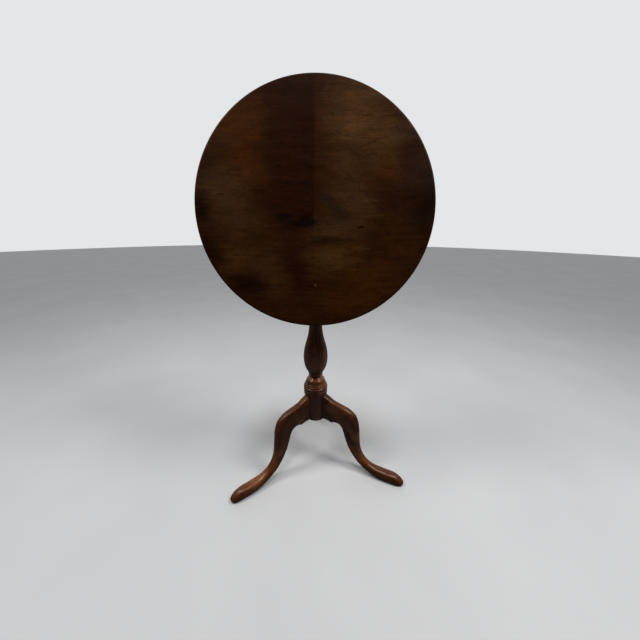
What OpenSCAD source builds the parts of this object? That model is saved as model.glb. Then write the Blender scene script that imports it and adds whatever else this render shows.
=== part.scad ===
// Tilt top table: a round top on two battens that tips on the pins of a block,
// a turned column wedged into that block, and three sliding dovetailed legs.
// Millimetres, +Z up, origin on the floor under the column, hinge line along X.
// The table is drawn with its top tipped up and resting on the block's stop face.

/* [Top] */
// Diameter of the round top
top_d = 500; // [470:5:540]
// Thickness of the round top
top_thick = 18; // [16:1:22]
// Height of the top's upper face when it is level
top_height = 724; // [715:1:735]
// How far the tipped top leans back from upright, in degrees
lean = 13.2; // [5:0.1:20]

/* [Battens] */
// Length of each batten across the grain of the top
batten_l = 400; // [360:10:420]
// Width of each batten
batten_w = 26; // [22:1:30]
// Depth of each batten where the pin goes through it
batten_h = 34; // [34:1:38]
// Depth of each batten at its two ends
batten_end_h = 13; // [10:1:16]

/* [Pivot block] */
// Width of the block between the battens
block_w = 90; // [84:2:100]
// Distance from the column's centre line forward to the pins
pivot_forward = 60; // [56:1:64]
// Distance from the column's centre line back to the catch end of the block
block_back = 60; // [54:1:62]
// Radius of the wooden pins
pin_r = 8; // [7:0.5:9]
// Radial clearance of the pins in the battens
pin_fit = 0.06; // [0.03:0.01:0.09]
// Gap between the top and the block, both when level and against the stop
seat_gap = 0.4; // [0.3:0.1:0.8]

/* [Column] */
// Radius of the shaft that the legs are let into
shaft_r = 32; // [31:0.5:34]
// Radius of the round tenon at the top of the column
tenon_r = 14; // [12:0.5:15]
// Height of the underside of the column above the floor
hub_bottom = 160; // [158:1:162]

/* [Legs] */
// Turn of the column and its legs against the hinge line, in degrees
tripod_turn = 6.5; // [-10:0.5:10]
// Width of the dovetail at the face of the shaft
dovetail_neck = 10; // [8:1:11]
// Width of the dovetail at its inner face
dovetail_wide = 15; // [13:1:16]
// Distance from the centre line to the inner face of each dovetail
dovetail_in = 15; // [14:0.5:17]

/* [Catch] */
// Travel of the brass bolt
bolt_travel = 10; // [8:1:11]
// Width of the brass bolt
bolt_w = 12; // [10:1:13]
// Thickness of the brass bolt
bolt_t = 6; // [5:0.5:7]

/* [Hidden] */
$fn = 64;

eps = 0.05;                                  // close wood to wood or wood to metal fit
under_z = top_height - top_thick;            // underside of the level top
pivot_drop = batten_h / 2;                   // pins sit half way down the battens
pivot_y = -pivot_forward;
pivot_z = under_z - pivot_drop;
nose_r = pivot_drop - seat_gap;              // the block's end is round about the pins
block_top = pivot_z + nose_r;
block_bottom = pivot_z - 16;
batten_x = block_w / 2 + seat_gap;           // inner face of each batten
tip = 90 - lean;
screw_r = 2;

// Seat of the legs: as deep as makes the shaft's flat as wide as a leg.
leg_w = 28;
leg_seat = sqrt(shaft_r * shaft_r - leg_w * leg_w / 4);
leg_top = 243.4;
leg_turns = [for (i = [0:2]) tripod_turn - 150 + 120 * i];

dovetail_top = 238;

brace_t = 2.5;
brace_arm_l = 44;
brace_arm_w = 13;

// Leg stations from the hub to the toe: [distance out, height] of the crown,
// the same for the underside, and half the leg's width there.
leg_stations = [
    [[leg_seat, leg_top], [leg_seat, hub_bottom], 14],
    [[43, 236], [43, hub_bottom - 2], 14],
    [[58, 227], [56, hub_bottom - 7], 14],
    [[77, 221], [67, hub_bottom - 3], 13.5],
    [[97, 215.5], [79, hub_bottom - 4], 13.5],
    [[116, 207], [88, 148], 13],
    [[131, 192], [94, 134], 13],
    [[140, 165], [100, 113], 12.5],
    [[144, 128], [108, 90], 12.5],
    [[149, 88], [122, 63], 12.5],
    [[163, 56], [145, 35], 13],
    [[189, 36], [177, 13], 14],
    [[224, 31], [212, 1], 16],
    [[255, 30], [246, -1], 15.5],
    [[273, 22], [267, -1], 13.5],
    [[282, 13.5], [280, 4], 8.5],
    [[284, 10.5], [283.5, 7], 4]
];
scallop_cusp = 2;                            // station where the underside has its point

// Catmull-Rom curve through a list of points, with n steps to a span.
function curve_point(a, b, c, d, t) =
    0.5 * (2 * b + (c - a) * t + (2 * a - 5 * b + 4 * c - d) * t * t
        + (3 * b - a - 3 * c + d) * t * t * t);
function smooth(p, n) =
    let (last = len(p) - 1)
    concat(
        [for (i = [0:last - 1], k = [0:n - 1])
            curve_point(
                i == 0 ? 2 * p[0] - p[1] : p[i - 1],
                p[i],
                p[i + 1],
                i == last - 1 ? 2 * p[last] - p[last - 1] : p[i + 2],
                k / n)],
        [p[last]]);
function slice(list, from, to) = [for (i = [from:to]) list[i]];
// Points on an arc about a centre.
function arc(centre, r, from, to, steps) =
    [for (i = [0:steps])
        let (a = from + (to - from) * i / steps) centre + r * [cos(a), sin(a)]];

// Puts what is drawn for a level top into its tipped place.
module tipped() {
    translate([0, pivot_y, pivot_z])
        rotate([tip, 0, 0])
            translate([0, -pivot_y, -pivot_z])
                children();
}

// Countersunk wood screw, its head's flat face at the origin and its shank up +Z.
module wood_screw(length, head_r, grow = 0) {
    cylinder(r1 = head_r + grow, r2 = screw_r + grow, h = head_r - screw_r + grow, $fn = 32);
    cylinder(r = screw_r + grow, h = length + grow, $fn = 32);
}

// ---- Top ----

batten_screw_y = [-175, -105, 45, 150];
batten_screw_x = batten_x + batten_w / 2;
batten_screw_z = under_z - 10;

module each_batten_screw(sides = [-1, 1]) {
    for (side = sides, y = batten_screw_y)
        translate([side * batten_screw_x, y, batten_screw_z])
            children();
}

module each_catch_screw() {
    for (x = [-13, 13], y = [catch_y + 6, catch_y + catch_l - 6])
        translate([x, y, under_z - catch_t])
            children();
}

module top_board() {
    r = top_d / 2;
    rim = concat(
        [[0, under_z], [r - 8, under_z]],
        arc([r - 8, under_z + 8], 8, -90, 0, 8),
        arc([r - 4, top_height - 4], 4, 0, 90, 6),
        [[0, top_height]]);
    color("saddlebrown")
        tipped()
            difference() {
                rotate_extrude($fn = 180)
                    polygon(rim);
                each_batten_screw()
                    wood_screw(22, 4, eps);
                each_catch_screw()
                    wood_screw(12, 3.5, eps);
            }
}

// Outline of a batten seen from its side, as [along, up], level with the top.
function batten_outline() =
    let (
        half = batten_l / 2,
        low = under_z - batten_h,
        end_low = under_z - batten_end_h
    )
    concat(
        [[-half, under_z], [-half, end_low]],
        smooth([[-half + 18, end_low - 2], [-half + 62, low + 4], [-half + 100, low]], 6),
        smooth([[30, low], [110, low + 7], [half - 18, end_low - 2]], 6),
        [[half, end_low], [half, under_z]]);

module batten(side) {
    color("sienna")
        tipped()
            difference() {
                translate([side * batten_screw_x - batten_w / 2, 0, 0])
                    rotate([90, 0, 90])
                        linear_extrude(batten_w)
                            polygon(batten_outline());
                translate([side * batten_screw_x - batten_w, pivot_y, pivot_z])
                    rotate([0, 90, 0])
                        cylinder(r = pin_r + pin_fit, h = 2 * batten_w);
                each_batten_screw([side]) {
                    wood_screw(22, 4, eps);
                    translate([0, 0, -batten_h])
                        cylinder(r = 4.5, h = batten_h + eps, $fn = 32);
                }
            }
}

module batten_left() batten(-1);

module batten_right() batten(1);

module batten_screws() {
    color("gold")
        tipped()
            each_batten_screw()
                wood_screw(22, 4);
}

// ---- Catch under the top ----

catch_t = 2;                                 // thickness of the brass plate
catch_l = 60;
catch_y = block_back + 6;                    // end of the plate nearest the block
case_wall = 1.5;
bolt_gap = 0.3;                              // running gap round the bolt
leaf_room = 1.4;                             // height left above the bolt for the leaf
bolt_top = under_z - catch_t - leaf_room;
bolt_bottom = bolt_top - bolt_t;
bolt_tip = block_back + 2.5;                 // the tip stands clear of the block at rest
bolt_end = catch_y + catch_l - 14;
knob_y = catch_y + 32;
case_low = bolt_bottom - bolt_gap - case_wall;
case_y = catch_y + 2;
case_l = catch_l - 4;

module catch_plate() {
    color("goldenrod")
        tipped()
            difference() {
                translate([-18, catch_y, under_z - catch_t])
                    cube([36, catch_l, catch_t]);
                each_catch_screw()
                    wood_screw(12, 3.5, eps);
            }
}

module catch_case() {
    inner_w = bolt_w + 2 * bolt_gap;
    color("goldenrod")
        tipped()
            difference() {
                translate([-inner_w / 2 - case_wall, case_y, case_low])
                    cube([inner_w + 2 * case_wall, case_l, under_z - catch_t - case_low]);
                // room for the bolt, open at the end towards the block
                translate([-inner_w / 2, case_y - 1, case_low + case_wall])
                    cube([inner_w, case_l - case_wall + 1, under_z - case_low]);
                // slot for the stem of the knob
                translate([-2.6, knob_y - bolt_travel - 2.6, case_low - 1])
                    cube([5.2, bolt_travel + 5.2, case_wall + 2]);
            }
}

// A thin bowed strip that rubs on the bolt and keeps it where it is put.
module catch_leaf() {
    from = catch_y + 14;
    bow = leaf_room - 0.6 - bolt_gap / 2;
    length = 26;
    line = [for (i = [0:12]) [from + length * i / 12, -bow * sin(180 * i / 12)]];
    upper = [for (p = line) [p[0], under_z - catch_t + p[1]]];
    lower = [for (i = [12:-1:0]) [line[i][0], under_z - catch_t - 0.6 + line[i][1]]];
    color("darkgoldenrod")
        tipped()
            translate([-4, 0, 0])
                rotate([90, 0, 90])
                    linear_extrude(8)
                        polygon(concat(upper, lower));
}

module catch_bolt() {
    color("gold")
        tipped()
            difference() {
                translate([-bolt_w / 2, 0, 0])
                    rotate([90, 0, 90])
                        linear_extrude(bolt_w)
                            polygon([
                                [bolt_tip, bolt_top], [bolt_end, bolt_top],
                                [bolt_end, bolt_bottom], [bolt_tip + 4, bolt_bottom],
                                [bolt_tip, bolt_bottom + 3]
                            ]);
                translate([0, knob_y, bolt_bottom - 1])
                    cylinder(r = 2 + eps, h = 4 + eps, $fn = 32);
            }
}

module catch_knob() {
    ball_r = 5;
    color("gold")
        tipped()
            translate([0, knob_y, bolt_bottom + 3])
                rotate([180, 0, 0]) {
                    cylinder(r = 2, h = 8, $fn = 32);
                    translate([0, 0, 5.5])
                        cylinder(r = 3.6, h = 1.5, $fn = 48);
                    translate([0, 0, 7 + ball_r * 0.8])
                        sphere(r = ball_r, $fn = 48);
                }
}

module catch_screws() {
    color("gold")
        tipped()
            each_catch_screw()
                wood_screw(12, 3.5);
}

// ---- Block on the column ----

strike_t = 1.5;
strike_low = pivot_z - 2;
slot_half = bolt_w / 2 + 0.6;
slot_low = bolt_bottom - 0.5;
slot_high = bolt_top + 0.5;

module each_strike_screw() {
    for (x = [-11, 11])
        translate([x, block_back, (slot_low + slot_high) / 2])
            rotate([90, 0, 0])
                children();
}

module pivot_block() {
    stop = [-cos(lean), sin(lean)];          // outward from the face that stops the top
    touch = nose_r * stop;
    foot_y = touch[0] - tan(lean) * (touch[1] + 16);
    color("sienna")
        difference() {
            union() {
                translate([-block_w / 2, pivot_y, pivot_z])
                    rotate([90, 0, 90])
                        linear_extrude(block_w)
                            union() {
                                circle(nose_r, $fn = 96);
                                polygon([[0, 0], touch, [foot_y, -16], [0, -16]]);
                                translate([0, -16])
                                    square([pivot_forward + block_back, 16 + nose_r]);
                            }
                translate([-batten_x - batten_w - 0.5, pivot_y, pivot_z])
                    rotate([0, 90, 0])
                        cylinder(r = pin_r, h = 2 * (batten_x + batten_w + 0.5));
            }
            translate([0, 0, block_bottom - 1])
                cylinder(r = tenon_r + eps, h = 60);
            // seat of the strike plate, and the mortise behind it
            translate([-15 - eps, block_back - strike_t - eps, strike_low - eps])
                cube([30 + 2 * eps, 10, 40]);
            translate([-slot_half, block_back - bolt_travel - 2, slot_low])
                cube([2 * slot_half, 20, slot_high - slot_low]);
            each_strike_screw()
                wood_screw(14, 3.4, eps);
        }
}

module wedge_shape(grow = 0) {
    difference() {
        translate([0, tenon_r + 1, 0])
            rotate([90, 0, 0])
                linear_extrude(2 * tenon_r + 2)
                    polygon([
                        [-1.8 - grow, block_top + grow], [1.8 + grow, block_top + grow],
                        [0.6 + grow, block_top - 24 - grow], [-0.6 - grow, block_top - 24 - grow]
                    ]);
        if (grow == 0)
            translate([0, 0, block_top - 30])
                difference() {
                    cylinder(r = 3 * tenon_r, h = 40);
                    translate([0, 0, -1])
                        cylinder(r = tenon_r - eps, h = 42);
                }
    }
}

module tenon_wedge() {
    color("burlywood")
        wedge_shape();
}

module strike_plate() {
    color("goldenrod")
        difference() {
            translate([-15, block_back - strike_t, strike_low])
                cube([30, strike_t, block_top - strike_low]);
            translate([-slot_half, block_back - 5, slot_low])
                cube([2 * slot_half, 10, slot_high - slot_low]);
            each_strike_screw()
                wood_screw(14, 3.4, eps);
        }
}

module strike_screws() {
    color("gold")
        each_strike_screw()
            wood_screw(14, 3.4);
}

// ---- Column ----

// Turned outline as [radius, height]: each list is one smooth run between sharp edges.
foot_run = [[34.2, 243.8], [34.8, 247.5], [34.3, 251.4]];
dome_run = [
    [28.4, 283], [27.8, 287], [26, 291.5], [23.2, 295], [18.5, 298.3], [16.2, 301.5], [16.4, 304.5], [18, 307]
];
vase_run = [
    [20.5, 312], [22, 317], [26.5, 326], [31.3, 338], [34.2, 356],
    [34, 375], [31.2, 394], [26.6, 412], [21.8, 430], [19, 448], [17.2, 468]
];
shaft_top = block_bottom - 33;
shaft_run = [[19, 492], [18.2, 540], [16.6, 600], [15.6, shaft_top]];
cap_run = [[16, shaft_top + 10], [19, shaft_top + 16], [25, shaft_top + 21]];

function column_outline() = concat(
    [[0, hub_bottom], [shaft_r - 2, hub_bottom], [shaft_r, hub_bottom + 2]],
    [[shaft_r, 242.4], [shaft_r + 0.8, 243.5]],
    smooth(foot_run, 3),
    [[33.2, 252.6]],
    smooth([[34.8, 254], [35.1, 257], [34.6, 259.8]], 3),
    [[33.4, 261]],
    smooth([[34.9, 262.2], [35.4, 266], [34.6, 270.5]], 4),
    [[33.2, 271.5]],
    smooth([[33.2, 272.5], [32.8, 275], [31.8, 276.5]], 2),
    [[30.2, 277]],
    smooth([[30.6, 278], [30.4, 280], [29.4, 281.5]], 2),
    [[28.2, 282]],
    smooth(dome_run, 5),
    smooth([[20.2, 308], [21, 309.6], [20.2, 311]], 3),
    smooth(vase_run, 5),
    smooth([[17.4, 474], [20.5, 477], [21.5, 480], [20.5, 483], [18, 486]], 3),
    smooth(shaft_run, 4),
    smooth([[18.5, shaft_top + 2], [19.6, shaft_top + 5], [18.5, shaft_top + 8]], 3),
    smooth(cap_run, 4),
    smooth([[28, block_bottom - 10], [29.2, block_bottom - 6], [28.4, block_bottom]], 4),
    [[tenon_r, block_bottom], [tenon_r, block_top], [0, block_top]]);

// Tongue of a leg, or with grow its socket, which is open at the bottom.
module dovetail(grow = 0) {
    low = hub_bottom - (grow > 0 ? 1 : 0);
    neck = dovetail_neck / 2 + grow;
    wide = dovetail_wide / 2 + grow;
    inner = dovetail_in - grow;
    translate([0, 0, low])
        linear_extrude(dovetail_top + grow - low)
            polygon([
                [leg_seat + 3, neck], [leg_seat, neck], [inner, wide],
                [inner, -wide], [leg_seat, -neck], [leg_seat + 3, -neck]
            ]);
}

module brace_shape(grow = 0) {
    translate([0, 0, hub_bottom - (grow > 0 ? 20 : 0)])
        linear_extrude(brace_t + (grow > 0 ? 20 + grow : 0)) {
            circle(17 + grow);
            for (turn = leg_turns)
                rotate(turn)
                    translate([0, -brace_arm_w / 2 - grow])
                        square([brace_arm_l + grow, brace_arm_w + 2 * grow]);
        }
}

module each_brace_screw() {
    for (spot = concat([[0, 0]], [for (turn = leg_turns) 37 * [cos(turn), sin(turn)]]))
        translate([spot[0], spot[1], hub_bottom])
            children();
}

module column() {
    color("brown")
        difference() {
            rotate_extrude($fn = 120)
                polygon(column_outline());
            for (turn = leg_turns)
                rotate(turn) {
                    dovetail(eps);
                    translate([leg_seat - eps, -leg_w / 2 - eps, hub_bottom - 1])
                        cube([10, leg_w + 2 * eps, leg_top - hub_bottom + 1 + eps]);
                }
            wedge_shape(0.03);
            brace_shape(eps);
            each_brace_screw()
                wood_screw(18, 4, eps);
        }
}

// ---- Legs ----

leg_steps = 2;
leg_sides = 16;

// Rounded slab section: across and up in -1 to 1.
function slab(a) =
    let (c = cos(a), s = sin(a), p = 2 / 3.2)
    [sign(c) * pow(abs(c), p), sign(s) * pow(abs(s), p)];

function leg_points() =
    let (
        last = len(leg_stations) - 1,
        crown = smooth([for (s = leg_stations) s[0]], leg_steps),
        hub_under = smooth([for (s = slice(leg_stations, 0, scallop_cusp)) s[1]], leg_steps),
        toe_under = smooth([for (s = slice(leg_stations, scallop_cusp, last)) s[1]], leg_steps),
        under = concat(hub_under, slice(toe_under, 1, len(toe_under) - 1)),
        half = smooth([for (s = leg_stations) s[2]], leg_steps)
    )
    [for (i = [0:len(crown) - 1], k = [0:leg_sides - 1])
        let (
            e = slab(360 * (k + 0.5) / leg_sides),
            p = (crown[i] + under[i]) / 2 + (crown[i] - under[i]) / 2 * e[1]
        )
        [p[0], half[i] * e[0], p[1]]];

module leg_body() {
    points = leg_points();
    rings = len(points) / leg_sides;
    last = rings - 1;
    quads = [for (i = [0:last - 1], k = [0:leg_sides - 1])
        let (n = (k + 1) % leg_sides)
        [i * leg_sides + k, i * leg_sides + n, (i + 1) * leg_sides + n, (i + 1) * leg_sides + k]];
    sides = [for (q = quads, half = [0, 1])
        half == 0 ? [q[0], q[2], q[1]] : [q[0], q[3], q[2]]];
    hub_end = [for (k = [0:leg_sides - 1]) k];
    toe_end = [for (k = [leg_sides - 1:-1:0]) last * leg_sides + k];
    polyhedron(points = points, faces = concat([hub_end], sides, [toe_end]));
}

module leg(turn) {
    color("saddlebrown")
        difference() {
            rotate(turn)
                union() {
                    leg_body();
                    dovetail();
                }
            translate([-400, -400, -50])
                cube([800, 800, 50]);
            brace_shape(eps);
            each_brace_screw()
                wood_screw(18, 4, eps);
        }
}

module leg_front_left() leg(leg_turns[0]);

module leg_front_right() leg(leg_turns[1]);

module leg_rear() leg(leg_turns[2]);

module brace_plate() {
    color("dimgray")
        difference() {
            brace_shape();
            each_brace_screw()
                wood_screw(18, 4, eps);
        }
}

module brace_screws() {
    color("gray")
        each_brace_screw()
            wood_screw(18, 4);
}

top_board();
batten_left();
batten_right();
batten_screws();
catch_plate();
catch_case();
catch_leaf();
catch_bolt();
catch_knob();
catch_screws();
pivot_block();
tenon_wedge();
strike_plate();
strike_screws();
column();
leg_front_left();
leg_front_right();
leg_rear();
brace_plate();
brace_screws();
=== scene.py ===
"""Looks of the tilt top table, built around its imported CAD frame. Metres, the CAD's own frame."""

import math

import bmesh
import bpy
import numpy as np
from mathutils import Matrix, Vector


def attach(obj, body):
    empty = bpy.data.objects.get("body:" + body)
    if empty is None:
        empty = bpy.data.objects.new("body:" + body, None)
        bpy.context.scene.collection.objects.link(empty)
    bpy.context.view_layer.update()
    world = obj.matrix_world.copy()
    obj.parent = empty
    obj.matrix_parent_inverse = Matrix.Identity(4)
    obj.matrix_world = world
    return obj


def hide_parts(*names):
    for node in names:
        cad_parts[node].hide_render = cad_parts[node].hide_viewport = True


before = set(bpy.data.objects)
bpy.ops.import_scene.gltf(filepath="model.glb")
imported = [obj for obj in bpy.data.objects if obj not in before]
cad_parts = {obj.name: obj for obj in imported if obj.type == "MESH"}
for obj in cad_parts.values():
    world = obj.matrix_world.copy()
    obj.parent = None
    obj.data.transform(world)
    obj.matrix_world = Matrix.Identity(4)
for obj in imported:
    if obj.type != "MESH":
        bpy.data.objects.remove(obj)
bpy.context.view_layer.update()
scene = bpy.context.scene
scene.view_settings.view_transform = "Standard"
scene.view_settings.look = "Medium High Contrast"

MM = 0.001

# ---- Sizes repeated from the CAD, in millimetres ----

TOP_R = 250
TOP_THICK = 18
TOP_HEIGHT = 724
LEAN = 13.2
UNDER_Z = TOP_HEIGHT - TOP_THICK
BATTEN_H = 34
BATTEN_W = 26
BATTEN_X = 45.4
PIVOT_Y = -60
PIVOT_Z = UNDER_Z - BATTEN_H / 2
BLOCK_TOP = PIVOT_Z + BATTEN_H / 2 - 0.4
BLOCK_BOTTOM = PIVOT_Z - 16
BLOCK_BACK = 60
TENON_R = 14
SHAFT_R = 32
HUB_BOTTOM = 160
FIT = 0.05
DOVETAIL_TOP = 238
DOVETAIL_NECK = 5
DOVETAIL_WIDE = 7.5
DOVETAIL_INNER = 15
LEG_W = 28
LEG_SEAT = math.sqrt(SHAFT_R**2 - LEG_W**2 / 4)
LEG_TOP = 243.4
LEG_TURNS = [-143.5, -23.5, 96.5]
BRACE_R = 17
BRACE_ARM_W = 13
BRACE_ARM_L = 44
BRACE_T = 2.5
BRACE_SCREW_R = 37
BATTEN_SCREW_X = BATTEN_X + BATTEN_W / 2
BATTEN_SCREW_Y = [-175, -105, 45, 150]
CATCH_Y = BLOCK_BACK + 6
CATCH_L = 60
CATCH_T = 2
BOLT_TOP = UNDER_Z - CATCH_T - 1.4
BOLT_BOTTOM = BOLT_TOP - 6
KNOB_Y = CATCH_Y + 32

PIVOT = Vector((0, PIVOT_Y, PIVOT_Z)) * MM
TIPPED = (
    Matrix.Translation(PIVOT)
    @ Matrix.Rotation(math.radians(90 - LEAN), 4, "X")
    @ Matrix.Translation(-PIVOT)
)


# ---- Outlines ----


def smooth(points, steps):
    """Catmull-Rom curve through points, with so many steps to a span."""
    p = [np.array(q, float) for q in points]
    p = [2 * p[0] - p[1], *p, 2 * p[-1] - p[-2]]
    made = []
    for a, b, c, d in zip(p, p[1:], p[2:], p[3:]):
        for k in range(steps):
            t = k / steps
            made.append(
                0.5
                * (
                    2 * b
                    + (c - a) * t
                    + (2 * a - 5 * b + 4 * c - d) * t * t
                    + (3 * b - a - 3 * c + d) * t**3
                )
            )
    return [*made, p[-2]]


def eased(points, size, steps=4, least=20):
    """The outline with each corner of more than so many degrees rounded."""
    p = [np.array(q, float) for q in points]
    made = [p[0]]
    for a, b, c in zip(p, p[1:], p[2:]):
        u, v = a - b, c - b
        lu, lv = np.linalg.norm(u), np.linalg.norm(v)
        if lu < 1e-9 or lv < 1e-9:
            continue
        turn = 180 - math.degrees(math.acos(max(-1, min(1, u @ v / lu / lv))))
        if turn < least:
            made.append(b)
            continue
        s = min(size, 0.45 * lu, 0.45 * lv)
        e, f = b + u / lu * s, b + v / lv * s
        for k in range(steps + 1):
            t = k / steps
            made.append((1 - t) ** 2 * e + 2 * t * (1 - t) * b + t * t * f)
    return [*made, p[-1]]


def arc(centre, r, start, end, steps):
    angles = [math.radians(start + (end - start) * i / steps) for i in range(steps + 1)]
    return [(centre[0] + r * math.cos(a), centre[1] + r * math.sin(a)) for a in angles]


# ---- Meshes, given in millimetres ----


def lathe(outline, sides):
    """Closed solid turned about Z. The outline starts and ends on the axis."""
    inner = outline[1:-1]
    verts = [(0, 0, outline[0][1]), (0, 0, outline[-1][1])]
    for r, z in inner:
        for k in range(sides):
            a = 2 * math.pi * k / sides
            verts.append((r * math.cos(a), r * math.sin(a), z))
    faces = []
    last = 2 + (len(inner) - 1) * sides
    for k in range(sides):
        n = (k + 1) % sides
        faces.append((0, 2 + n, 2 + k))
        faces.append((1, last + k, last + n))
        for i in range(len(inner) - 1):
            a, b = 2 + i * sides, 2 + (i + 1) * sides
            faces.append((a + k, a + n, b + n, b + k))
    return verts, faces


def prism(points, low, high):
    """Closed solid with that counterclockwise outline in XY, from height low to high."""
    n = len(points)
    verts = [(x, y, low) for x, y in points] + [(x, y, high) for x, y in points]
    faces = [tuple(range(n - 1, -1, -1)), tuple(range(n, 2 * n))]
    faces += [(k, (k + 1) % n, n + (k + 1) % n, n + k) for k in range(n)]
    return verts, faces


def block(lo, hi):
    return prism([(lo[0], lo[1]), (hi[0], lo[1]), (hi[0], hi[1]), (lo[0], hi[1])], lo[2], hi[2])


def moved(shape, matrix):
    verts, faces = shape
    return [tuple(matrix @ Vector(v)) for v in verts], faces


def turned(shape, degrees, axis="Z"):
    return moved(shape, Matrix.Rotation(math.radians(degrees), 4, axis))


def joined(shapes):
    verts, faces = [], []
    for v, f in shapes:
        faces += [tuple(i + len(verts) for i in face) for face in f]
        verts += v
    return verts, faces


def make_mesh(name, shape, place=None):
    verts, faces = shape
    mesh = bpy.data.meshes.new(name)
    mesh.from_pydata([tuple(Vector(v) * MM) for v in verts], [], faces)
    if place is not None:
        mesh.transform(place)
    mesh.update()
    return mesh


def make_object(name, mesh):
    obj = bpy.data.objects.new(name, mesh)
    scene.collection.objects.link(obj)
    return obj


def cut(obj, shape, operation="DIFFERENCE", place=None):
    """Boolean with one closed solid, applied."""
    tool = make_object("cutter", make_mesh("cutter", shape, place))
    modifier = obj.modifiers.new("cut", "BOOLEAN")
    modifier.operation = operation
    modifier.solver = "EXACT"
    modifier.object = tool
    depsgraph = bpy.context.evaluated_depsgraph_get()
    mesh = bpy.data.meshes.new_from_object(obj.evaluated_get(depsgraph))
    obj.modifiers.clear()
    old = obj.data
    obj.data = mesh
    mesh.name = obj.name
    bpy.data.meshes.remove(old)
    bpy.data.objects.remove(tool)
    return obj


def paint(obj, material):
    obj.data.materials.clear()
    obj.data.materials.append(material)


def finish_piece(obj, body, material, replaces=(), sharp=32):
    """Material, shading, body and replaced nodes of a piece; edges over sharp degrees stay sharp."""
    paint(obj, material)
    obj.data.shade_smooth()
    obj.data.set_sharp_from_angle(angle=math.radians(sharp))
    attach(obj, body)
    if replaces:
        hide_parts(*replaces)
    return obj


def softened(name, node, width):
    """A copy of a CAD node with its outer edges eased, as sanding and use leave them."""
    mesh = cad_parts[node].data.copy()
    mesh.name = name
    bm = bmesh.new()
    bm.from_mesh(mesh)
    bmesh.ops.remove_doubles(bm, verts=bm.verts, dist=2e-6)
    bmesh.ops.dissolve_limit(
        bm, angle_limit=math.radians(0.4), verts=bm.verts, edges=bm.edges, use_dissolve_boundaries=False
    )
    least = math.radians(35)
    outer = [
        e for e in bm.edges if len(e.link_faces) == 2 and e.is_convex and e.calc_face_angle() > least
    ]
    bmesh.ops.bevel(
        bm, geom=outer, offset=width * MM, segments=3, profile=0.5, affect="EDGES", clamp_overlap=True
    )
    bm.to_mesh(mesh)
    bm.free()
    return make_object(name, mesh)


# ---- Material graphs ----


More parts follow.
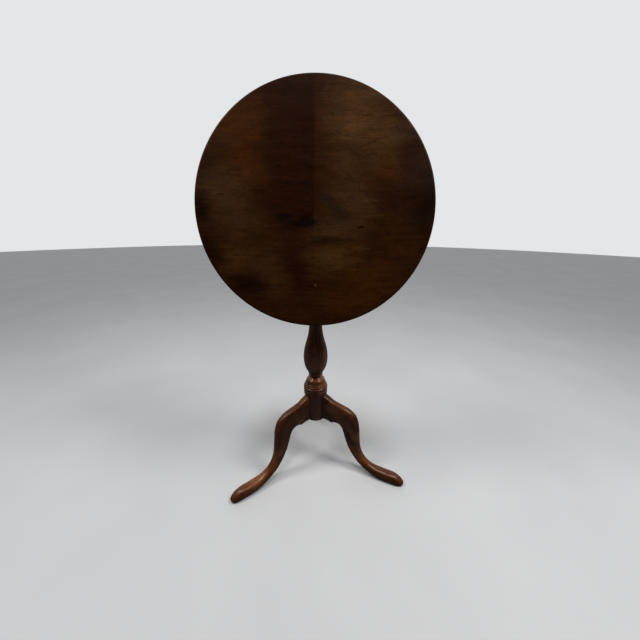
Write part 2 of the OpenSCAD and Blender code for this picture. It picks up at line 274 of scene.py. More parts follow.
class Graph:
    """A material's node tree, with short calls for the nodes used here."""

    def __init__(self, name, **shader):
        self.material = bpy.data.materials.new(name)
        self.material.use_nodes = True
        self.nodes = self.material.node_tree.nodes
        self.links = self.material.node_tree.links
        self.shader = next(n for n in self.nodes if n.type == "BSDF_PRINCIPLED")
        for key, value in shader.items():
            self.shader.inputs[key.replace("_", " ")].default_value = value

    def put(self, kind, inputs=(), **settings):
        node = self.nodes.new("ShaderNode" + kind)
        for key, value in settings.items():
            setattr(node, key, value)
        for key, value in dict(inputs).items():
            if value is None:
                continue
            if isinstance(value, bpy.types.NodeSocket):
                self.links.new(value, node.inputs[key])
            else:
                node.inputs[key].default_value = value
        return node

    def coords(self, matrix=None):
        """Object coordinates, or those of a frame that the matrix turns them into."""
        here = self.put("TexCoord").outputs["Object"]
        if matrix is None:
            return here
        node = self.put("Mapping", {"Vector": here}, vector_type="POINT")
        node.inputs["Location"].default_value = matrix.to_translation()
        node.inputs["Rotation"].default_value = matrix.to_euler("XYZ")
        return node.outputs["Vector"]

    def scaled(self, vector, factors):
        return self.put("VectorMath", {0: vector, 1: factors}, operation="MULTIPLY").outputs[0]

    def noise(self, vector, scale, detail=2.0, rough=0.5, colour=False):
        node = self.put(
            "TexNoise",
            {"Vector": self.scaled(vector, scale), "Scale": 1.0, "Detail": detail, "Roughness": rough},
        )
        return node.outputs["Color" if colour else "Fac"]

    def cell_edges(self, vector, scale):
        """Distance to the nearest border between Voronoi cells."""
        node = self.put(
            "TexVoronoi", {"Vector": self.scaled(vector, scale), "Scale": 1.0}, feature="DISTANCE_TO_EDGE"
        )
        return node.outputs["Distance"]

    def math(self, operation, a, b=None):
        return self.put("Math", {0: a, 1: b}, operation=operation).outputs[0]

    def add(self, a, b):
        return self.math("ADD", a, b)

    def mul(self, a, b):
        return self.math("MULTIPLY", a, b)

    def ease(self, value, low, high):
        """Smooth step from 0 to 1 as value goes from low to high."""
        node = self.put(
            "MapRange",
            {"Value": value, "From Min": low, "From Max": high},
            interpolation_type="SMOOTHSTEP",
        )
        return node.outputs[0]

    def span(self, value, low, high, out_low=0.0, out_high=1.0):
        """Straight ramp from out_low to out_high as value goes from low to high."""
        node = self.put(
            "MapRange",
            {"Value": value, "From Min": low, "From Max": high, "To Min": out_low, "To Max": out_high},
        )
        return node.outputs[0]

    def mix(self, share, a, b):
        """Colour a, or colour b where share is 1."""
        node = self.put("Mix", {0: share}, data_type="RGBA", clamp_factor=True)
        for index, colour in ((6, a), (7, b)):
            if isinstance(colour, bpy.types.NodeSocket):
                self.links.new(colour, node.inputs[index])
            else:
                node.inputs[index].default_value = (*colour, 1)
        return node.outputs[2]

    def scale_colour(self, colour, factor):
        """Colour times a number."""
        return self.put("VectorMath", {0: colour, 3: factor}, operation="SCALE").outputs[0]

    def shift(self, vector, wobble, amount):
        """Vector moved by a noise colour, amount metres either way."""
        centred = self.put("VectorMath", {0: wobble, 1: (0.5, 0.5, 0.5)}, operation="SUBTRACT")
        scaled = self.put("VectorMath", {0: centred.outputs[0], 3: amount * 2}, operation="SCALE")
        return self.put("VectorMath", {0: vector, 1: scaled.outputs[0]}, operation="ADD").outputs[0]

    def parts(self, vector):
        return self.put("SeparateXYZ", {0: vector}).outputs

    def blob(self, vector, x, y, rx, ry, soft=0.0, lean=0.0):
        """1 inside an ellipse in XY, in millimetres, falling smoothly to 0 at its edge."""
        node = self.put("Mapping", {"Vector": vector}, vector_type="TEXTURE")
        node.inputs["Location"].default_value = (x * MM, y * MM, 0)
        node.inputs["Rotation"].default_value = (0, 0, math.radians(lean))
        node.inputs["Scale"].default_value = (rx * MM, ry * MM, 1e6)
        length = self.put("VectorMath", {0: node.outputs[0]}, operation="LENGTH").outputs["Value"]
        return self.ease(length, 1.0, soft)

    def bump(self, height, distance):
        node = self.put("Bump", {"Height": height, "Distance": distance, "Strength": 1.0})
        return node.outputs[0]

    def occluded_corners(self, distance):
        """1 in corners and joints, from ambient occlusion: the woods darken there as painted shade, and
        polish, dirt and the metals' patina gather there.
        """
        node = self.put("AmbientOcclusion", {"Distance": distance}, samples=6)
        return self.math("SUBTRACT", 1.0, node.outputs["AO"])

    def close(self, colour, rough=None, normal=None):
        """Link what varies over the surface to the shader, and give the finished material."""
        for key, value in (("Base Color", colour), ("Roughness", rough), ("Normal", normal)):
            if value is not None:
                self.links.new(value, self.shader.inputs[key])
        return self.material


def srgb(r, g, b):
    """Linear colour of a screen colour given from 0 to 255."""
    return tuple(
        c / 12.92 if c <= 0.04045 else ((c + 0.055) / 1.055) ** 2.4
        for c in (r / 255, g / 255, b / 255)
    )


def grain(g, p, ring=1.0, wide=(5, 210, 210)):
    """Wood with its grain along X of p: broad streaks, fine fibres and open pores, each 0 to 1."""
    wave = g.noise(p, (3, 5, 5), detail=2, colour=True)
    q = g.shift(p, wave, 0.006 * ring)
    streak = g.noise(q, wide, detail=5, rough=0.62)
    fibre = g.noise(q, (22, 900, 900), detail=3, rough=0.6)
    pore = g.noise(q, (130, 2600, 2600), detail=1, rough=0.4)
    pore = g.ease(pore, 0.62, 0.74)
    return streak, fibre, pore


# colours of the polished face; the grey is a painted sheen of reflected light
AMBER = srgb(55, 29, 3)
OLIVE = srgb(61, 41, 18)
TAN = srgb(69, 47, 26)
SHEEN_GREY = srgb(57, 39, 23)
BROWN = srgb(46, 23, 8)
MAROON = srgb(33, 14, 5)
NIGHT = srgb(15, 6, 2)

# Marks of the polished face, in millimetres from its centre as it faces the viewer.
# patches: x, y, reach in x, reach in y, colour, strength; the grey ones are painted sheen
PATCHES = [
    (-150, 150, 100, 100, AMBER, 0.80),
    (-127, 70, 90, 60, AMBER, 0.75),
    (-185, 20, 80, 80, SHEEN_GREY, 0.80),
    (-162, -30, 80, 50, SHEEN_GREY, 0.60),
    (-157, -105, 70, 65, OLIVE, 0.60),
    (-96, -135, 55, 95, SHEEN_GREY, 0.50),
    (-37, 235, 120, 40, MAROON, 0.35),
    (93, 215, 110, 55, SHEEN_GREY, 0.75),
    (78, 160, 90, 80, TAN, 0.85),
    (133, 125, 80, 90, OLIVE, 0.75),
    (63, 75, 75, 80, SHEEN_GREY, 0.75),
    (83, 10, 90, 60, SHEEN_GREY, 0.75),
    (148, 75, 50, 60, AMBER, 0.55),
    (40, -55, 110, 50, SHEEN_GREY, 0.80),
    (45, -108, 105, 48, OLIVE, 0.80),
    (113, -150, 90, 60, AMBER, 0.75),
    (73, -195, 80, 35, AMBER, 0.65),
    (178, -85, 60, 70, BROWN, 0.60),
    (-236, -5, 32, 46, NIGHT, 0.85),
    (-225, -95, 45, 70, NIGHT, 0.55),
    (-137, -170, 60, 32, NIGHT, 0.75),
    (172, 25, 85, 50, MAROON, 0.80),
    (234, 10, 60, 110, NIGHT, 0.85),
    (215, 120, 55, 75, MAROON, 0.75),
    (-40, -120, 34, 95, MAROON, 0.95),
    (115, -100, 20, 40, MAROON, 0.55),
]
# ink stains and knocks: x, y, reach in x, reach in y, slope in degrees, strength
STAINS = [
    (-24, -35, 50, 12, 4, 0.85),
    (-18, -26, 24, 15, -8, 0.75),
    (-68, -22, 34, 6, -3, 0.75),
    (-52, -39, 20, 4, 0, 0.5),
    (36, -70, 66, 11, 8, 0.55),
    (10, -62, 40, 5, 3, 0.4),
    (-40, 42, 34, 6, 0, 0.45),
    (95, -42, 11, 3, 8, 0.95),
    (-75, 77, 8, 2.6, -4, 0.95),
    (34, 174, 3, 2.4, 0, 0.95),
    (162, 152, 2.8, 2.2, 0, 0.95),
    (92, -123, 6, 2.4, 0, 0.8),
]
# smudges: x, y, reach in x, reach in y
SMUDGES = [(18, 18, 34, 18), (48, -12, 42, 22)]
# wandering lines: x, y, slope in degrees, half the length, how far the line wanders
VEINS = [(90, 38, -43, 70, 26), (80, 104, -9, 52, 14), (112, 122, 24, 40, 8)]


def top_wood():
    """Dark polish with the stains and patches of long use, a painted dark reflection down the middle and
    patches of painted grey sheen; the underside is bare.
    """
    g = Graph("top_polished_wood", Coat_Weight=0.0, Specular_IOR_Level=0.05)
    p = g.coords(TIPPED.inverted())
    x, y, z = g.parts(p)[0:3]
    streak, fibre, pore = grain(g, p, 1.6, (9, 260, 260))
    wobble = g.noise(p, (9, 14, 14), detail=4, rough=0.6, colour=True)
    q = g.shift(p, wobble, 0.03)
    fine = g.noise(p, (14, 60, 60), detail=4, rough=0.65, colour=True)
    n = g.shift(p, fine, 0.012)
    q = g.shift(q, fine, 0.016)
    torn = g.noise(p, (34, 210, 210), detail=5, rough=0.7, colour=True)
    ragged = g.shift(n, torn, 0.011)

    # the polished face: a dark brown ground, then broad patches of colour, the grey ones painted sheen
    colour = g.mix(g.ease(streak, 0.25, 0.78), srgb(37, 19, 6), srgb(44, 24, 8))
    for px, py, rx, ry, tint, strength in PATCHES:
        colour = g.mix(g.mul(g.blob(q, px, py, rx, ry), strength), colour, tint)

    # the dark band down the middle, with its sharper right side, is a painted dark reflection
    left_side = g.ease(g.parts(q)[0], -0.135, -0.065)
    right_side = g.ease(g.parts(g.shift(p, fine, 0.004))[0], 0.001, -0.006)
    dark_reflection = g.mul(g.mul(left_side, right_side), g.ease(y, -0.10, 0.0))
    colour = g.mix(g.mul(dark_reflection, 0.88), colour, MAROON)

    # grain over all of it: broad streaks, cloudy mottling and fine fibres
    mottle = g.noise(p, (26, 75, 75), detail=5, rough=0.68)
    dashes = g.noise(q, (24, 560, 560), detail=3, rough=0.6)
    tone = g.add(g.span(streak, 0.3, 0.7, 0.92, 1.08), g.span(fibre, 0.3, 0.7, -0.1, 0.1))
    tone = g.add(tone, g.span(mottle, 0.3, 0.7, -0.26, 0.26))
    tone = g.add(tone, g.span(dashes, 0.3, 0.7, -0.34, 0.34))
    colour = g.scale_colour(colour, tone)

    # ink and water stains, small knocks and specks
    ink = srgb(14, 7, 6)
    for px, py, rx, ry, lean, strength in STAINS:
        stain = g.blob(ragged if rx > 12 else p, px, py, rx, ry, 0.3, lean)
        colour = g.mix(g.mul(stain, strength), colour, ink)
    for px, py, rx, ry in SMUDGES:
        smudge = g.mul(g.blob(ragged, px, py, rx, ry, 0.0, -34), 0.75)
        colour = g.mix(smudge, colour, srgb(31, 25, 16))
    colour = g.mix(g.mul(g.blob(p, 2, -162, 3.5, 3), 0.7), colour, srgb(100, 72, 50))

    # thin wandering lines of old water damage right of the middle
    for px, py, lean, half, wander in VEINS:
        local = g.put("Mapping", {"Vector": p}, vector_type="TEXTURE")
        local.inputs["Location"].default_value = (px * MM, py * MM, 0)
        local.inputs["Rotation"].default_value = (0, 0, math.radians(lean))
        along, off = g.parts(local.outputs[0])[0:2]
        row = g.put("CombineXYZ", {0: along, 1: px * 0.1}).outputs[0]
        swing = g.noise(row, (42, 1, 1), detail=4, rough=0.6)
        off = g.math("ABSOLUTE", g.add(off, g.span(swing, 0, 1, -wander * MM, wander * MM)))
        fading = g.ease(g.math("ABSOLUTE", along), half * MM, half * 0.7 * MM)
        line = g.mul(g.ease(off, 0.0016, 0.0004), fading)
        colour = g.mix(g.mul(line, 0.55), colour, srgb(22, 12, 8))

    # pepper specks in the paler parts
    pepper = g.ease(g.noise(p, (330, 420, 420), detail=2, rough=0.6), 0.66, 0.72)
    colour = g.mix(g.mul(pepper, 0.55), colour, srgb(14, 7, 3))

    # hairline scratches, lighter than the polish
    scratch = g.cell_edges(g.shift(p, g.noise(p, (7, 7, 7), colour=True), 0.05), (14, 300, 1))
    scratch = g.mul(g.ease(scratch, 0.025, 0.0), g.ease(g.noise(p, (25, 25, 25)), 0.62, 0.74))
    colour = g.mix(g.mul(scratch, 0.10), colour, srgb(140, 108, 78))

    # pores are darker, the rim is rubbed, the hidden side is bare and dry
    colour = g.mix(g.mul(pore, 0.35), colour, srgb(16, 7, 3))
    flat = g.put("CombineXYZ", {0: x, 1: y, 2: 0.0}).outputs[0]
    radius = g.put("VectorMath", {0: flat}, operation="LENGTH").outputs["Value"]
    rubbed = g.ease(radius, (TOP_R - 3.2) * MM, (TOP_R - 0.6) * MM)
    rubbed = g.mul(rubbed, g.ease(g.noise(p, (45, 45, 45), detail=4), 0.2, 0.8))
    colour = g.mix(g.mul(rubbed, 0.4), colour, srgb(92, 56, 28))
    bare = g.ease(z, (UNDER_Z + 5) * MM, (UNDER_Z + 1.5) * MM)
    dry = g.mix(g.ease(streak, 0.3, 0.7), srgb(88, 56, 34), srgb(124, 86, 56))
    dry = g.scale_colour(dry, g.span(fibre, 0.3, 0.7, 0.8, 1.15))
    colour = g.mix(bare, colour, dry)

    rough = g.span(g.noise(p, (10, 24, 24), detail=4), 0.3, 0.7, 0.30, 0.42)
    rough = g.add(rough, g.mul(bare, 0.35))
    rough = g.add(rough, g.mul(pore, 0.1))
    height = g.add(g.mul(pore, -0.6), g.mul(fibre, 0.35))
    height = g.add(height, g.mul(scratch, -0.3))
    return g.close(colour, rough, g.bump(height, 0.00006))


def base_wood(name, to_grain, seed, tone, coat, top_lightening):
    """Glossy dark wood of the column and the legs, grain along X after to_grain.

    The seed moves the figure along the grain, tone scales the colour, coat is the
    weight of the clear polish and the last sets how far faces turned up get painted light from above.
    """
    g = Graph(name, Coat_Weight=coat, Coat_Roughness=0.3, Specular_IOR_Level=0.08)
    p = g.coords(Matrix.Translation((seed, 0, 0)) @ to_grain)
    streak, fibre, pore = grain(g, p, 0.7)
    patch = g.noise(p, (7, 16, 16), detail=3, rough=0.6)
    colour = g.mix(g.ease(streak, 0.3, 0.72), srgb(32, 13, 3), srgb(72, 36, 12))
    colour = g.mix(g.mul(g.ease(patch, 0.48, 0.72), 0.6), colour, srgb(110, 70, 34))
    colour = g.scale_colour(colour, g.mul(g.span(fibre, 0.3, 0.7, 0.84, 1.16), tone))
    colour = g.mix(g.mul(pore, 0.35), colour, srgb(18, 8, 4))
    # painted shade: corners and joints darken to near black where ambient occlusion falls; the polish
    # there is also rougher
    corner_shade_and_grime = g.ease(g.occluded_corners(0.012), 0.25, 0.85)
    colour = g.mix(g.mul(corner_shade_and_grime, 0.75), colour, srgb(16, 8, 5))
    # faces turned up are painted a lighter brown, as light from above falls on them
    upward = g.parts(g.put("NewGeometry").outputs["Normal"])[2]
    painted_top_light = g.mul(g.ease(upward, 0.15, 0.95), g.span(patch, 0.3, 0.7, 0.3 * top_lightening, 0.55 * top_lightening))
    colour = g.mix(painted_top_light, colour, srgb(116, 68, 34))
    knock = g.ease(g.noise(p, (55, 110, 110), detail=3, rough=0.6), 0.66, 0.74)
    colour = g.mix(g.mul(knock, 0.35), colour, srgb(120, 78, 46))
    rough = g.span(g.noise(p, (18, 40, 40), detail=4), 0.3, 0.7, 0.26, 0.42)
    rough = g.add(rough, g.mul(corner_shade_and_grime, 0.15))
    height = g.add(g.mul(pore, -0.5), g.mul(fibre, 0.3))
    height = g.add(height, g.mul(g.noise(p, (40, 90, 90), detail=2), 0.8))
    return g.close(colour, rough, g.bump(height, 0.00016))


def plain_wood(name, to_grain, low, high, seed):
    """Bare wood that dust and hands have darkened, with painted shade in its corners."""
    g = Graph(name, Coat_Weight=0.0, Specular_IOR_Level=0.3)
    p = g.coords(Matrix.Translation((seed, 0, 0)) @ to_grain)
    streak, fibre, pore = grain(g, p)
    colour = g.mix(g.ease(streak, 0.28, 0.74), low, high)
    colour = g.scale_colour(colour, g.span(fibre, 0.3, 0.7, 0.82, 1.16))
    colour = g.mix(g.mul(pore, 0.4), colour, tuple(c * 0.35 for c in low))
    # painted shade: corners and joints darken where ambient occlusion falls
    corner_shade_and_grime = g.ease(g.occluded_corners(0.01), 0.2, 0.9)
    colour = g.mix(g.mul(corner_shade_and_grime, 0.6), colour, tuple(c * 0.3 for c in low))
    handled = g.ease(g.noise(p, (20, 30, 30), detail=4), 0.5, 0.72)
    colour = g.mix(g.mul(handled, 0.3), colour, tuple(c * 0.6 for c in low))
    rough = g.span(g.noise(p, (30, 60, 60), detail=3), 0.3, 0.7, 0.5, 0.72)
    height = g.add(g.mul(pore, -0.6), g.mul(fibre, 0.6))
    return g.close(colour, rough, g.bump(height, 0.0002))


def metal(name, bright, dull, rough_low, rough_high, tarnish, metallic=1.0):
    """Old metal: bright where it is handled, dull and brown in the corners."""
    g = Graph(name, Metallic=metallic)
    p = g.coords()
    cloud = g.noise(p, (60, 60, 60), detail=5, rough=0.65)
    spots = g.ease(g.noise(p, (400, 400, 400), detail=3, rough=0.6), 0.6, 0.72)
    corner_shade_and_grime = g.ease(g.occluded_corners(0.004), 0.2, 0.8)
    share = g.mul(g.ease(cloud, 0.42, 0.64), tarnish)
    colour = g.mix(share, bright, dull)
    colour = g.mix(g.mul(spots, 0.5), colour, tuple(c * 0.5 for c in dull))
    colour = g.mix(g.mul(corner_shade_and_grime, 0.8), colour, tuple(c * 0.25 for c in dull))
    rough = g.add(g.span(cloud, 0.3, 0.7, rough_low, rough_high), g.mul(spots, 0.15))
    brushed = g.noise(p, (1800, 120, 1800), detail=2)
    height = g.add(g.mul(brushed, 0.4), g.mul(spots, -0.5))
    return g.close(colour, rough, g.bump(height, 0.00004))


# turns that bring the grain of a piece to X
ALONG_Z = Matrix.Rotation(math.radians(90), 4, "Y")
ACROSS = Matrix.Rotation(math.radians(-90), 4, "Z") @ TIPPED.inverted()

TOP_WOOD = top_wood()
COLUMN_WOOD = base_wood("base_wood_column", ALONG_Z, 3.1, 1.0, coat=0.62, top_lightening=1.3)
LEG_GRAIN = Matrix.Rotation(math.radians(-56), 4, "Y")
# tones of the three legs; the front right leg's darker copy of the wood is painted shade
LEG_SHADED_TONES = (0.95, 0.86, 0.95)
LEG_WOODS = [
    base_wood(
        f"base_wood_leg_{i + 1}",
        LEG_GRAIN @ Matrix.Rotation(math.radians(-turn), 4, "Z"),
        7.3 + 2.9 * i,
        tone,
        coat=0.36,
        top_lightening=0.45,
    )
    for i, (turn, tone) in enumerate(zip(LEG_TURNS, LEG_SHADED_TONES))
]
BATTEN_WOOD = plain_wood("underside_wood_battens", ACROSS, srgb(82, 50, 30), srgb(122, 80, 50), 1.7)
BLOCK_WOOD = plain_wood("underside_wood_block", Matrix(), srgb(76, 46, 28), srgb(112, 72, 44), 5.3)
WEDGE_WOOD = plain_wood("pale_wood_wedge", ALONG_Z, srgb(150, 116, 76), srgb(186, 150, 104), 2.3)
BRASS = metal("aged_brass", srgb(206, 166, 92), srgb(120, 84, 40), 0.24, 0.42, 0.6)
STEEL = metal("old_screw_steel", srgb(150, 146, 140), srgb(96, 78, 62), 0.3, 0.5, 0.6)
IRON = metal("rusted_iron", srgb(84, 76, 70), srgb(92, 54, 34), 0.45, 0.7, 0.8, 0.75)

# ---- Round top ----

UNDER_EDGE_R = 8
UPPER_EDGE_R = 4
rim = [
    (0, UNDER_Z),
    (60, UNDER_Z),
    (150, UNDER_Z),
    (TOP_R - UNDER_EDGE_R, UNDER_Z),
    *arc((TOP_R - UNDER_EDGE_R, UNDER_Z + UNDER_EDGE_R), UNDER_EDGE_R, -84, 0, 12),
    *arc((TOP_R - UPPER_EDGE_R, TOP_HEIGHT - UPPER_EDGE_R), UPPER_EDGE_R, 0, 84, 9),
    (TOP_R - 4.6, TOP_HEIGHT),
    (150, TOP_HEIGHT),
    (60, TOP_HEIGHT),
    (0, TOP_HEIGHT),
]
top_disc = make_object("top_disc", make_mesh("top_disc", lathe(rim, 240), TIPPED))
finish_piece(top_disc, "top", TOP_WOOD, ["top_board"])

# ---- Battens, block, wedge ----

for side in ("left", "right"):
    piece = softened(f"bearer_{side}", f"batten_{side}", 1.4)
    finish_piece(piece, "top", BATTEN_WOOD, [f"batten_{side}"])
piece = softened("hinge_block", "pivot_block", 1.2)
finish_piece(piece, "base", BLOCK_WOOD, ["pivot_block"])
paint(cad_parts["tenon_wedge"], WEDGE_WOOD)

# ---- Column ----

STEPS = 14
SHAFT_TOP = BLOCK_BOTTOM - 33
foot_run = [(34.2, 243.8), (34.8, 247.5), (34.3, 251.4)]
dome_run = [
    (28.4, 283), (27.8, 287), (26, 291.5), (23.2, 295),
    (18.5, 298.3), (16.2, 301.5), (16.4, 304.5), (18, 307),
]
vase_run = [
    (20.5, 312), (22, 317), (26.5, 326), (31.3, 338), (34.2, 356),
    (34, 375), (31.2, 394), (26.6, 412), (21.8, 430), (19, 448), (17.2, 468),
]
shaft_run = [(19, 492), (18.2, 540), (16.6, 600), (15.6, SHAFT_TOP)]
cap_run = [(16, SHAFT_TOP + 10), (19, SHAFT_TOP + 16), (25, SHAFT_TOP + 21)]
column_outline = [
    (0, HUB_BOTTOM), (SHAFT_R - 2, HUB_BOTTOM), (SHAFT_R, HUB_BOTTOM + 2),
    (SHAFT_R, 242.4), (SHAFT_R + 0.8, 243.5),
    *smooth(foot_run, 8),
    (33.2, 252.6),
    *smooth([(34.8, 254), (35.1, 257), (34.6, 259.8)], 6),
    (33.4, 261),
    *smooth([(34.9, 262.2), (35.4, 266), (34.6, 270.5)], 8),
    (33.2, 271.5),
    *smooth([(33.2, 272.5), (32.8, 275), (31.8, 276.5)], 5),
    (30.2, 277),
    *smooth([(30.6, 278), (30.4, 280), (29.4, 281.5)], 5),
    (28.2, 282),
    *smooth(dome_run, STEPS),
    *smooth([(20.2, 308), (21, 309.6), (20.2, 311)], 5),
    *smooth(vase_run, STEPS),
    *smooth([(17.4, 474), (20.5, 477), (21.5, 480), (20.5, 483), (18, 486)], 5),
    *smooth(shaft_run, STEPS),
    *smooth([(18.5, SHAFT_TOP + 2), (19.6, SHAFT_TOP + 5), (18.5, SHAFT_TOP + 8)], 5),
    *smooth(cap_run, STEPS),
    *smooth([(28, BLOCK_BOTTOM - 10), (29.2, BLOCK_BOTTOM - 6), (28.4, BLOCK_BOTTOM)], 6),
    (TENON_R, BLOCK_BOTTOM), (TENON_R, BLOCK_TOP), (0, BLOCK_TOP),
]


def dovetail(grow=0.0):
    """Dovetail of a leg along +X, or with grow its socket in the column."""
    neck, wide, inner = DOVETAIL_NECK + grow, DOVETAIL_WIDE + grow, DOVETAIL_INNER - grow
    far = LEG_SEAT + 3
    half = [(far, neck), (LEG_SEAT, neck), (inner, wide)]
    outline = [(far, -neck), *half, (inner, -wide), (LEG_SEAT, -neck)]
    return prism(outline, HUB_BOTTOM - (1 if grow else 0), DOVETAIL_TOP + grow)


def brace_room():
    """Solids that cut the room for the iron plate under the hub."""
    top = HUB_BOTTOM + BRACE_T + FIT
    half = BRACE_ARM_W / 2 + FIT
    shapes = [prism(arc((0, 0), BRACE_R + FIT, 0, 354, 59), HUB_BOTTOM - 20, top)]
    for i, turn in enumerate(LEG_TURNS):
        arm = block((0, -half, HUB_BOTTOM - 19 + i), (BRACE_ARM_L + FIT, half, top))
        shapes.append(turned(arm, turn))
    return shapes


def wedge_slot():
    """Solid that cuts the slot of the wedge, narrower at its foot."""
    top, foot = BLOCK_TOP + 1, BLOCK_TOP - 24.1
    return turned(prism([(-1.83, top), (-0.57, foot), (0.57, foot), (1.83, top)], -30, 30), 90, "X")


column = make_object(
    "turned_column", make_mesh("turned_column", lathe(eased(column_outline, 0.7), 160))
)
for turn in LEG_TURNS:
    half = LEG_W / 2 + FIT
    seat = block((LEG_SEAT - 0.02, -half, HUB_BOTTOM - 1), (LEG_SEAT + 12, half, LEG_TOP + FIT))
    cut(column, turned(seat, turn))
    cut(column, turned(dovetail(FIT), turn))
for shape in brace_room():
    cut(column, shape)
cut(column, wedge_slot())
finish_piece(column, "base", COLUMN_WOOD, ["column"], 30)

# ---- Legs ----

# crown [out, up], underside [out, up], half width, squareness of the section
STATIONS = [
    ((LEG_SEAT, LEG_TOP), (LEG_SEAT, HUB_BOTTOM), LEG_W / 2, 5.0),
    ((43, 236), (43, 158), 14, 4.2),
    ((58, 227), (56, 153), 14, 3.8),
    ((77, 221), (67, 157), 13.5, 3.6),
    ((97, 215.5), (79, 156), 13.5, 3.5),
    ((116, 207), (88, 148), 13, 3.4),
    ((131, 192), (94, 134), 13, 3.2),
    ((140, 165), (100, 113), 12.5, 3.0),
    ((144, 128), (108, 90), 12.5, 2.8),
    ((149, 88), (122, 63), 12.5, 2.6),
    ((163, 56), (145, 35), 13, 2.4),
    ((189, 36), (177, 13), 14, 2.3),
    ((224, 31), (212, 1), 16, 2.3),
    ((255, 30), (246, -1), 15.5, 2.3),
    ((273, 22), (267, -1), 13.5, 2.3),
    ((282, 13.5), (280, 4), 8.5, 2.2),
    ((284, 10.5), (283.5, 7), 4, 2.1),
]
CUSP = 2  # the station where the underside has its cusp
SIDES = 64
SPAN = 9  # rings from one station to the next


def leg_shape():
    """Leg along +X: a ring of SIDES points for each step along the smoothed stations."""
    crown = smooth([s[0] for s in STATIONS], SPAN)
    under = smooth([s[1] for s in STATIONS[: CUSP + 1]], SPAN)
    under += smooth([s[1] for s in STATIONS[CUSP:]], SPAN)[1:]
    half = smooth([(s[2],) for s in STATIONS], SPAN)
    square = smooth([(s[3],) for s in STATIONS], SPAN)
    rings = []
    for c, u, h, e in zip(crown, under, half, square):
        ring = []
        for k in range(SIDES):
            a = 2 * math.pi * (k + 0.5) / SIDES
            across = math.copysign(abs(math.cos(a)) ** (2 / e[0]), math.cos(a))
            up = math.copysign(abs(math.sin(a)) ** (2 / e[0]), math.sin(a))
            out, z = (c + u) / 2 + (c - u) / 2 * up
            ring.append((out, h[0] * across, max(z, 0)))
        rings.append(ring)
    verts = [v for ring in rings for v in ring]
    faces = []
    for i in range(len(rings) - 1):
        for k in range(SIDES):
            a, b = i * SIDES + k, i * SIDES + (k + 1) % SIDES
            faces.append((a, b, b + SIDES, a + SIDES))
    faces.append(tuple(range(SIDES - 1, -1, -1)))
    # the toe closes over three shrinking rings
    end = np.array(rings[-1])
    centre = end.mean(axis=0)
    start = (len(rings) - 1) * SIDES
    for share, out in ((0.8, 0.15), (0.45, 0.25)):
        ring = centre + (end - centre) * share
        ring[:, 0] += out
        base = len(verts)
        verts += [tuple(v) for v in ring]
        for k in range(SIDES):
            n = (k + 1) % SIDES
            faces.append((start + k, start + n, base + n, base + k))
        start = base
    faces.append(tuple(range(start, start + SIDES)))
    return verts, faces


LEG_NODES = ("leg_front_left", "leg_front_right", "leg_rear")
for node, turn, wood in zip(LEG_NODES, LEG_TURNS, LEG_WOODS):
    name = node.replace("leg", "cabriole", 1)
    leg = make_object(name, make_mesh(name, turned(leg_shape(), turn)))
    cut(leg, turned(dovetail(), turn), "UNION")
    for shape in brace_room():
        cut(leg, shape)
    finish_piece(leg, "base", wood, [node], 34)

# ---- Metalwork ----


def slotted_screw(length, head_r, slot_turn):
    """Countersunk screw, its head's face at the origin and its shank up +Z."""
    deep = head_r - 2
    outline = [
        (0, 0), (head_r - 0.35, 0), (head_r, 0.25), (2, deep), (2, length - 4), (0.4, length), (0, length)
    ]
    obj = make_object("screw", make_mesh("screw", lathe(eased(outline, 0.25, 3), 36)))
    slot = block((-head_r - 1, -0.45, -1), (head_r + 1, 0.45, 0.8))
    cut(obj, turned(slot, slot_turn))
    mesh = obj.data
    shape = [tuple(v.co / MM) for v in mesh.vertices], [tuple(f.vertices) for f in mesh.polygons]
    bpy.data.objects.remove(obj)
    return shape


def screw_set(name, node, body, material, length, head_r, spots, place=None):
    """One piece for all the screws of a node: spots are (matrix, slot turn)."""
    shapes = [moved(slotted_screw(length, head_r, turn), matrix) for matrix, turn in spots]
    obj = make_object(name, make_mesh(name, joined(shapes), place))
    return finish_piece(obj, body, material, [node], 30)


at = Matrix.Translation
screw_set(
    "bearer_screws", "batten_screws", "top", STEEL, 22, 4,
    [
        (at((side * BATTEN_SCREW_X, y, UNDER_Z - 10)), 25 + 47 * i + 31 * side)
        for side in (-1, 1)
        for i, y in enumerate(BATTEN_SCREW_Y)
    ],
    TIPPED,
)
screw_set(
    "catch_plate_screws", "catch_screws", "top", BRASS, 12, 3.5,
    [
        (at((x, y, UNDER_Z - CATCH_T)), 15 + 3 * x + y)
        for x in (-13, 13)
        for y in (CATCH_Y + 6, CATCH_Y + CATCH_L - 6)
    ],
    TIPPED,
)
strike_z = (BOLT_BOTTOM + BOLT_TOP) / 2
facing_back = Matrix.Rotation(math.radians(90), 4, "X")
screw_set(
    "strike_plate_screws", "strike_screws", "base", BRASS, 14, 3.4,
    [(at((x, BLOCK_BACK, strike_z)) @ facing_back, 20 + 4 * x) for x in (-11, 11)],
)
angles = [math.radians(turn) for turn in LEG_TURNS]
arm_spots = [(0, 0)] + [(BRACE_SCREW_R * math.cos(a), BRACE_SCREW_R * math.sin(a)) for a in angles]
screw_set(
    "brace_plate_screws", "brace_screws", "base", STEEL, 18, 4,
    [(at((x, y, HUB_BOTTOM)), 40 + 53 * i) for i, (x, y) in enumerate(arm_spots)],
)

for name, node, body, slot, material, width in (
    ("catch_base", "catch_plate", "top", "brass", BRASS, 0.35),
    ("catch_body", "catch_case", "top", "brass", BRASS, 0.4),
    ("sliding_bolt", "catch_bolt", "bolt", "brass", BRASS, 0.5),
    ("strike", "strike_plate", "base", "brass", BRASS, 0.3),
    ("hub_brace", "brace_plate", "base", "iron", IRON, 0.5),
):
    finish_piece(softened(name, node, width), body, material, [node])
paint(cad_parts["catch_leaf"], BRASS)

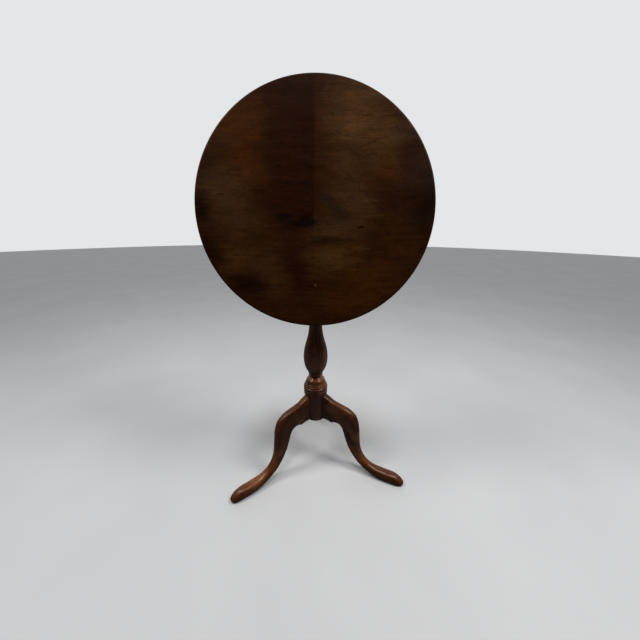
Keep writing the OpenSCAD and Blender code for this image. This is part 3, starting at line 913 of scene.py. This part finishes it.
knob_outline = eased(
    [
        (0, 0), (2, 0), (2, 5.5), (3.4, 5.5), (3.6, 5.9), (3.6, 6.7), (3.2, 7), (2.4, 7.15),
        *arc((0, 11), 5, -52, 84, 18), (0, 16),
    ],
    0.2, 3,
)
hang = at((0, KNOB_Y, BOLT_BOTTOM + 3)) @ Matrix.Rotation(math.pi, 4, "X")
knob = make_object("bolt_knob", make_mesh("bolt_knob", moved(lathe(knob_outline, 48), hang), TIPPED))
finish_piece(knob, "bolt", BRASS, ["catch_knob"], 40)

# ---- Stage ----

FLOOR_R = 11000
CAMERA_PLACE = (0.0144, -0.6575, 0.7144)
CAMERA_SENSOR = 36
CAMERA_LENS = 14.4
CAMERA_SHIFT = (-0.0010, 0.0008)
CAMERA_TURN = (69.936, -0.453, 0.235)  # degrees about X, Y and Z

floor = make_object("floor", make_mesh("floor", prism(arc((0, 0), FLOOR_R, 0, 354, 59), -40, 0)))
pale = Graph("pale_floor", Roughness=0.75, Specular_IOR_Level=0.2)
where = pale.coords()
dust = pale.noise(where, (3, 3, 3), detail=5)
dusty_tone = pale.mix(pale.span(dust, 0.3, 0.7), (0.30, 0.305, 0.315), (0.32, 0.325, 0.335))
# painted reflection: the floor turns near black in reflections only, so glossy wood mirrors a darker floor
# than the camera sees
mirrored = pale.put("LightPath").outputs["Is Glossy Ray"]
pale.close(pale.mix(pale.mul(mirrored, 0.7), dusty_tone, (0.05, 0.05, 0.05)))
floor.data.materials.append(pale.material)

camera = bpy.data.objects.new("camera", bpy.data.cameras.new("camera"))
scene.collection.objects.link(camera)
scene.camera = camera
camera.data.sensor_width = CAMERA_SENSOR
camera.data.lens = CAMERA_LENS
camera.data.clip_start = 0.02
camera.data.shift_x, camera.data.shift_y = CAMERA_SHIFT
camera.location = CAMERA_PLACE
camera.rotation_euler = [math.radians(a) for a in CAMERA_TURN]

# the studio: dark in front of the table, pale behind it, and plain pale grey to the camera
world = bpy.data.worlds.new("studio")
scene.world = world
world.use_nodes = True
tree = world.node_tree
for node in list(tree.nodes):
    tree.nodes.remove(node)
out = tree.nodes.new("ShaderNodeOutputWorld")
dome = tree.nodes.new("ShaderNodeBackground")
direction = tree.nodes.new("ShaderNodeTexCoord")
split = tree.nodes.new("ShaderNodeSeparateXYZ")
tree.links.new(direction.outputs["Generated"], split.inputs[0])
back = tree.nodes.new("ShaderNodeMapRange")
back.interpolation_type = "SMOOTHSTEP"
for key, value in (("From Min", -0.3), ("From Max", 0.75), ("To Min", 0.03), ("To Max", 0.85)):
    back.inputs[key].default_value = value
tree.links.new(split.outputs[1], back.inputs["Value"])
tree.links.new(back.outputs[0], dome.inputs["Color"])
sight = tree.nodes.new("ShaderNodeBackground")
sight.inputs["Color"].default_value = (0.66, 0.67, 0.68, 1)
rays = tree.nodes.new("ShaderNodeLightPath")
either = tree.nodes.new("ShaderNodeMixShader")
tree.links.new(rays.outputs["Is Camera Ray"], either.inputs[0])
tree.links.new(dome.outputs[0], either.inputs[1])
tree.links.new(sight.outputs[0], either.inputs[2])
tree.links.new(either.outputs[0], out.inputs[0])


def softbox(name, place, aim, width, depth, power):
    light = bpy.data.lights.new(name, "AREA")
    light.shape = "RECTANGLE"
    light.size, light.size_y = width, depth
    light.energy = power
    light.color = (1.0, 0.98, 0.95)
    obj = bpy.data.objects.new(name, light)
    scene.collection.objects.link(obj)
    obj.location = place
    obj.rotation_euler = (Vector(aim) - Vector(place)).to_track_quat("-Z", "Y").to_euler()


ceiling = bpy.data.objects.new("ceiling", bpy.data.lights.new("ceiling", "SUN"))
scene.collection.objects.link(ceiling)
ceiling.data.energy = 1.3
ceiling.data.angle = math.radians(15)
ceiling.rotation_euler = (math.radians(14), 0, 0)
softbox("left", (-1.1, -0.35, 1.9), (0, 0, 0.3), 0.5, 1.0, 25)
softbox("right", (1.1, -0.45, 1.9), (0, 0, 0.3), 0.5, 1.0, 34)
